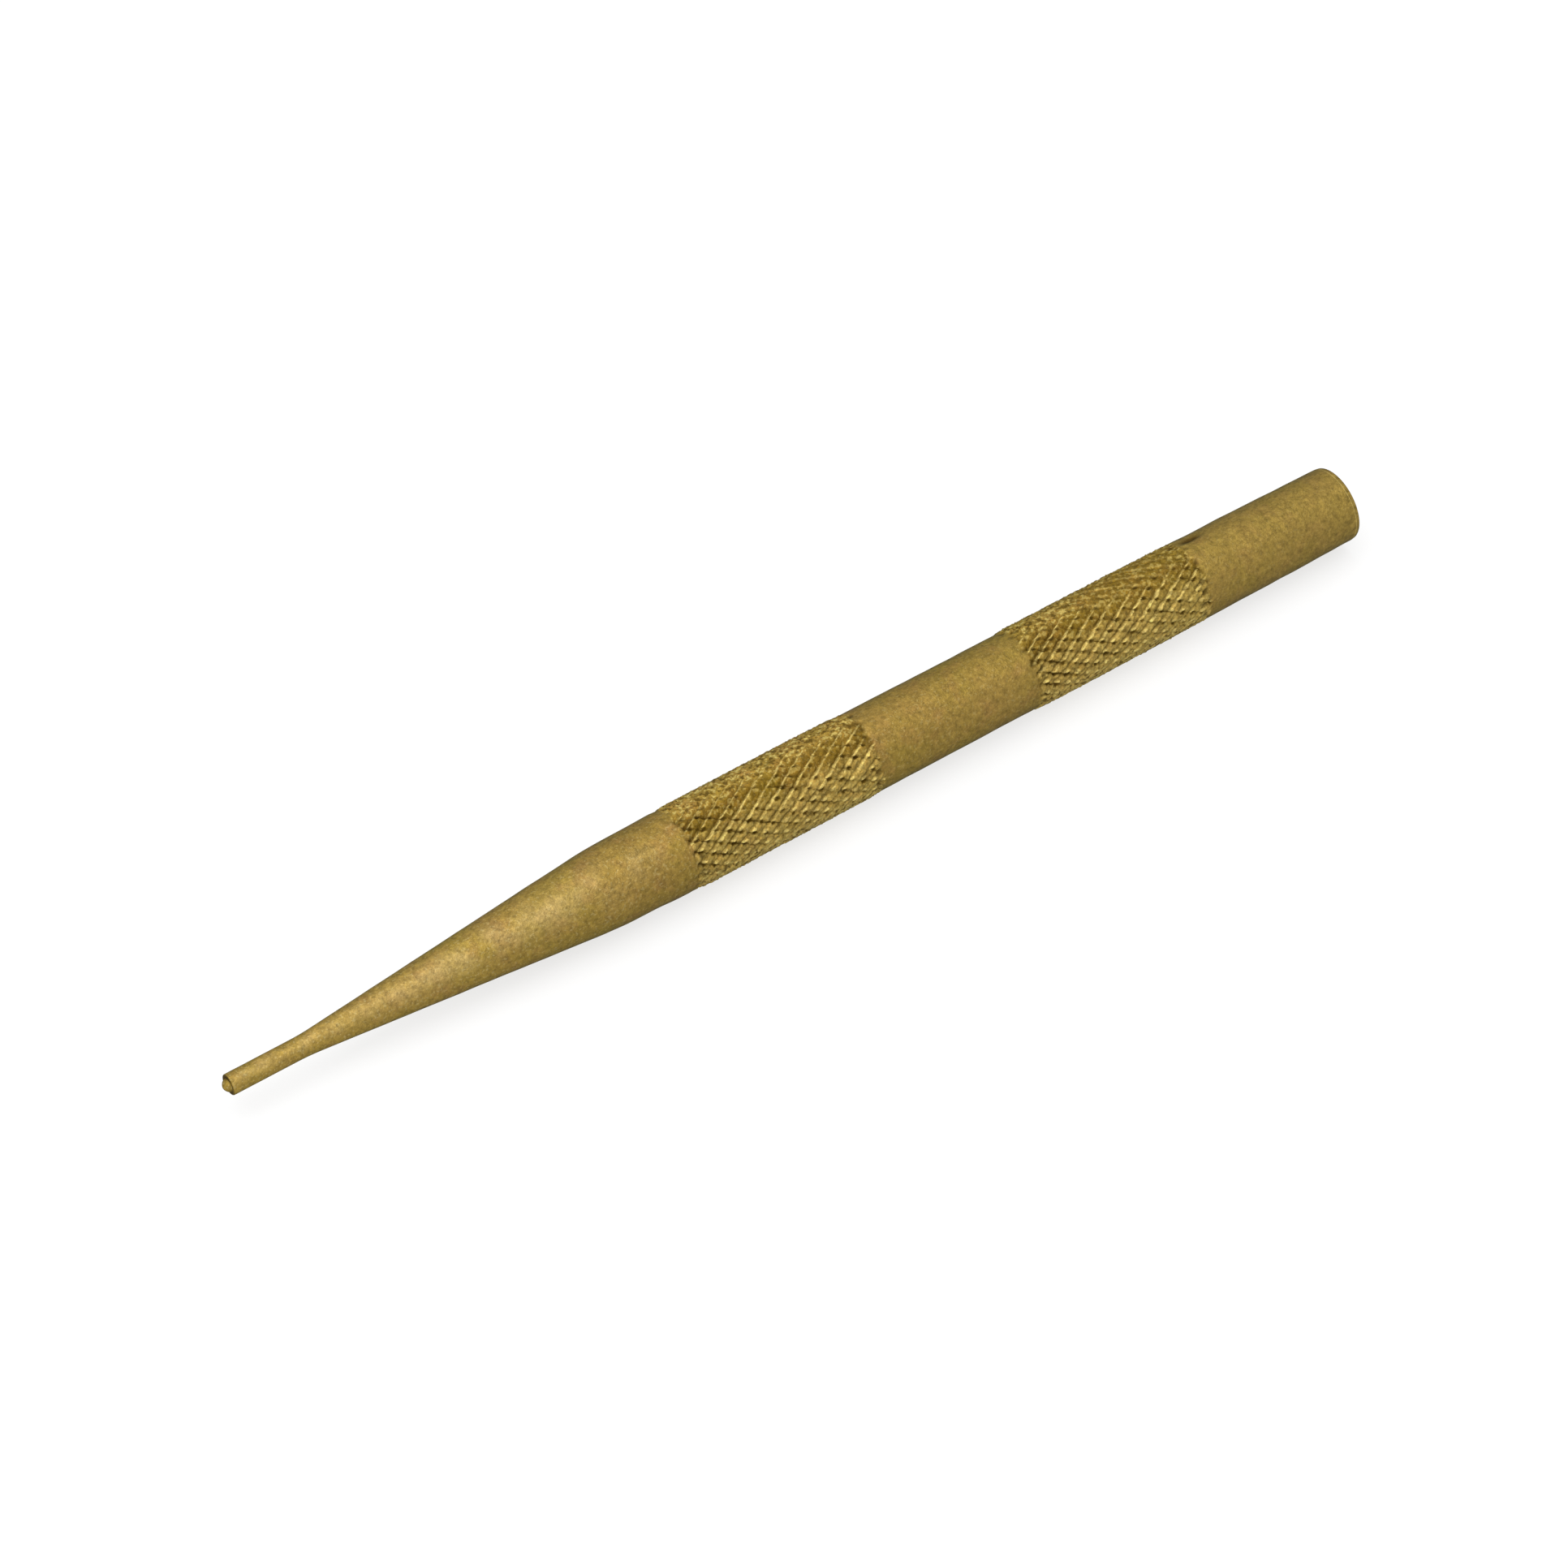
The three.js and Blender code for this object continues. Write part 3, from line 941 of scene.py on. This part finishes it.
def gritty(tree, place, colour):
    """Painted shade in small dark holes and painted glints in coarse skin, at the high and the low end of
    one noise.
    """
    coarse = mark(tree, "coarse")
    holes = combine(tree, "MULTIPLY", pattern(tree, place, HOLES), coarse)
    glints = combine(tree, "MULTIPLY", pattern(tree, place, GLINTS), coarse)
    return blend_colours(tree, glints, blend_colours(tree, holes, colour, HOLE_SHADE_BROWN), GLINT_GOLD)


def bronze_colour(tree, place):
    """Clouded olive gold, toned along the bar with a painted falloff of light and on the knurls, speckled
    and gritty with painted glints and shade, with dirt and painted shade last.
    """
    x = bar_x(tree, place)
    colour = toned_along(tree, x, cast_clouds(tree, place))
    colour = speckled(tree, place, x, knurl_toned(tree, colour))
    colour = gritty(tree, place, colour)
    # Dirt and painted shade in the grooves, pits, the void and the nose's crease
    dirt_and_shade_share = remap(tree, mark(tree, "dirt_and_shade"), MARK_START, 1, 0, DIRT_AND_SHADE_STRENGTH)
    return blend_colours(tree, dirt_and_shade_share, colour, GROOVE_DIRT_AND_SHADE)


def bump(tree, place, grain, strength=None, under=None):
    """A grain's bumped normal, over another one where it is given. Its strength is full, or a mark's."""
    made = node(tree, "ShaderNodeBump", Strength=1.0, Distance=grain.depth)
    for name, value in (("Height", noise(tree, place, grain)), ("Strength", strength), ("Normal", under)):
        if value is not None:
            tree.links.new(value, made.inputs[name])
    return made.outputs["Normal"]


def bronze_grain(tree, place):
    """The blasted skin's fine grain, over a rougher one on the knurls and a coarse one at their edges."""
    coarse = bump(tree, place, COARSE_GRAIN, mark(tree, "coarse"))
    knurled = bump(tree, place, KNURL_GRAIN, mark(tree, "tone"), coarse)
    return bump(tree, place, FINE_GRAIN, under=knurled)


def bronze_roughness(tree, place):
    """Satin, plus a share of the coarse and of the knurled mark, less a share of the wear and highlight
    mark.
    """
    coarse = remap(tree, mark(tree, "coarse"), 0, 1, 0, COARSE_DULLNESS)
    knurled = remap(tree, mark(tree, "tone"), 0, 1, 0, KNURL_DULLNESS)
    shine = remap(tree, mark(tree, "wear_and_highlight"), SHINE_START, 1, 0, WEAR_SHINE)
    duller = combine(tree, "ADD", combine(tree, "ADD", pattern(tree, place, SATIN), coarse), knurled)
    return combine(tree, "SUBTRACT", duller, shine)


def cast_bronze():
    """Blasted casting: satin metal under a thin film of tarnish, which shows darkest at its edges."""
    material = bpy.data.materials.new("cast_bronze")
    material.use_nodes = True
    tree = material.node_tree
    shader = tree.nodes["Principled BSDF"]
    shader.inputs["Metallic"].default_value = 0.75
    shader.inputs["Specular Tint"].default_value = (0.4, 0.42, 0.4, 1)
    shader.inputs["Specular IOR Level"].default_value = 0.4
    shader.inputs["Coat Weight"].default_value = 1.0
    shader.inputs["Coat Roughness"].default_value = 0.6
    shader.inputs["Coat IOR"].default_value = 1.02
    shader.inputs["Coat Tint"].default_value = (0.8, 0.82, 0.84, 1)
    place = node(tree, "ShaderNodeTexCoord").outputs["Object"]
    tree.links.new(bronze_colour(tree, place), shader.inputs["Base Color"])
    tree.links.new(bronze_grain(tree, place), shader.inputs["Normal"])
    tree.links.new(bronze_roughness(tree, place), shader.inputs["Roughness"])
    return material


def seen_rays(tree, strength):
    """The strength for camera, glossy and transmission rays, and zero for the rest."""
    rays = node(tree, "ShaderNodeLightPath").outputs
    seen = combine(tree, "MAXIMUM", rays["Is Camera Ray"], rays["Is Glossy Ray"])
    seen = combine(tree, "MAXIMUM", seen, rays["Is Transmission Ray"])
    return combine(tree, "MULTIPLY", seen, strength)


def pale_floor():
    """Plain pale floor that keeps the shadow. Rays from the camera, or seen in the metal, find it white."""
    material = bpy.data.materials.new("pale_floor")
    material.use_nodes = True
    tree = material.node_tree
    tree.nodes.remove(tree.nodes["Principled BSDF"])
    paper = node(tree, "ShaderNodeBsdfDiffuse", Color=(FLOOR_COLOUR, FLOOR_COLOUR, FLOOR_COLOUR, 1))
    glow = node(tree, "ShaderNodeEmission")
    both = node(tree, "ShaderNodeAddShader")
    tree.links.new(seen_rays(tree, FLOOR_GLOW), glow.inputs["Strength"])
    tree.links.new(paper.outputs[0], both.inputs[0])
    tree.links.new(glow.outputs[0], both.inputs[1])
    tree.links.new(both.outputs[0], tree.nodes["Material Output"].inputs["Surface"])
    return material


def make_floor():
    """A wide flat floor under the punch."""
    half = FLOOR_HALF
    corners = [(-half, -half, 0), (half, -half, 0), (half, half, 0), (-half, half, 0)]
    mesh = bpy.data.meshes.new("floor")
    mesh.from_pydata(corners, [], [(0, 1, 2, 3)])
    mesh.materials.append(pale_floor())
    floor = bpy.data.objects.new("floor", mesh)
    bpy.context.collection.objects.link(floor)


def soft_light(name, place, size, power):
    """A square soft light, aimed at the middle of the punch."""
    light = bpy.data.lights.new(name, "AREA")
    light.size, light.energy = size, power
    lamp = bpy.data.objects.new(name, light)
    lamp.location = place
    lamp.rotation_euler = (-Vector(place)).to_track_quat("-Z", "Y").to_euler()
    bpy.context.collection.objects.link(lamp)


def make_world():
    """Even pale surroundings."""
    world = bpy.data.worlds.new("studio")
    bpy.context.scene.world = world
    world.use_nodes = True
    background = world.node_tree.nodes["Background"]
    background.inputs["Color"].default_value = (1, 1, 1, 1)
    background.inputs["Strength"].default_value = WORLD_LEVEL


def make_camera():
    """A long lens, looking down on the punch from its pin end."""
    azimuth, elevation = CAMERA_AZIMUTH, CAMERA_ELEVATION
    level = math.cos(elevation)
    right = Vector((math.cos(azimuth), math.sin(azimuth), 0))
    back = Vector((math.sin(azimuth) * level, -math.cos(azimuth) * level, math.sin(elevation)))
    up = back.cross(right)
    aim = Vector((NOSE + CAMERA_AIM_ALONG, 0, AXIS_HEIGHT))
    eye = aim + back * CAMERA_DISTANCE - right * CAMERA_SHIFT_LEFT + up * CAMERA_SHIFT_UP
    camera = bpy.data.objects.new("camera", bpy.data.cameras.new("camera"))
    camera.data.lens = CAMERA_LENS
    camera.data.clip_start, camera.data.clip_end = CAMERA_REACH
    camera.matrix_world = Matrix.Translation(eye) @ Matrix((right, up, back)).transposed().to_4x4()
    bpy.context.collection.objects.link(camera)
    bpy.context.scene.camera = camera


make_camera()
make_floor()
make_world()
soft_light("key", KEY_PLACE, KEY_SIZE, KEY_POWER)
make_punch()
bpy.context.scene.view_settings.view_transform = "Standard"
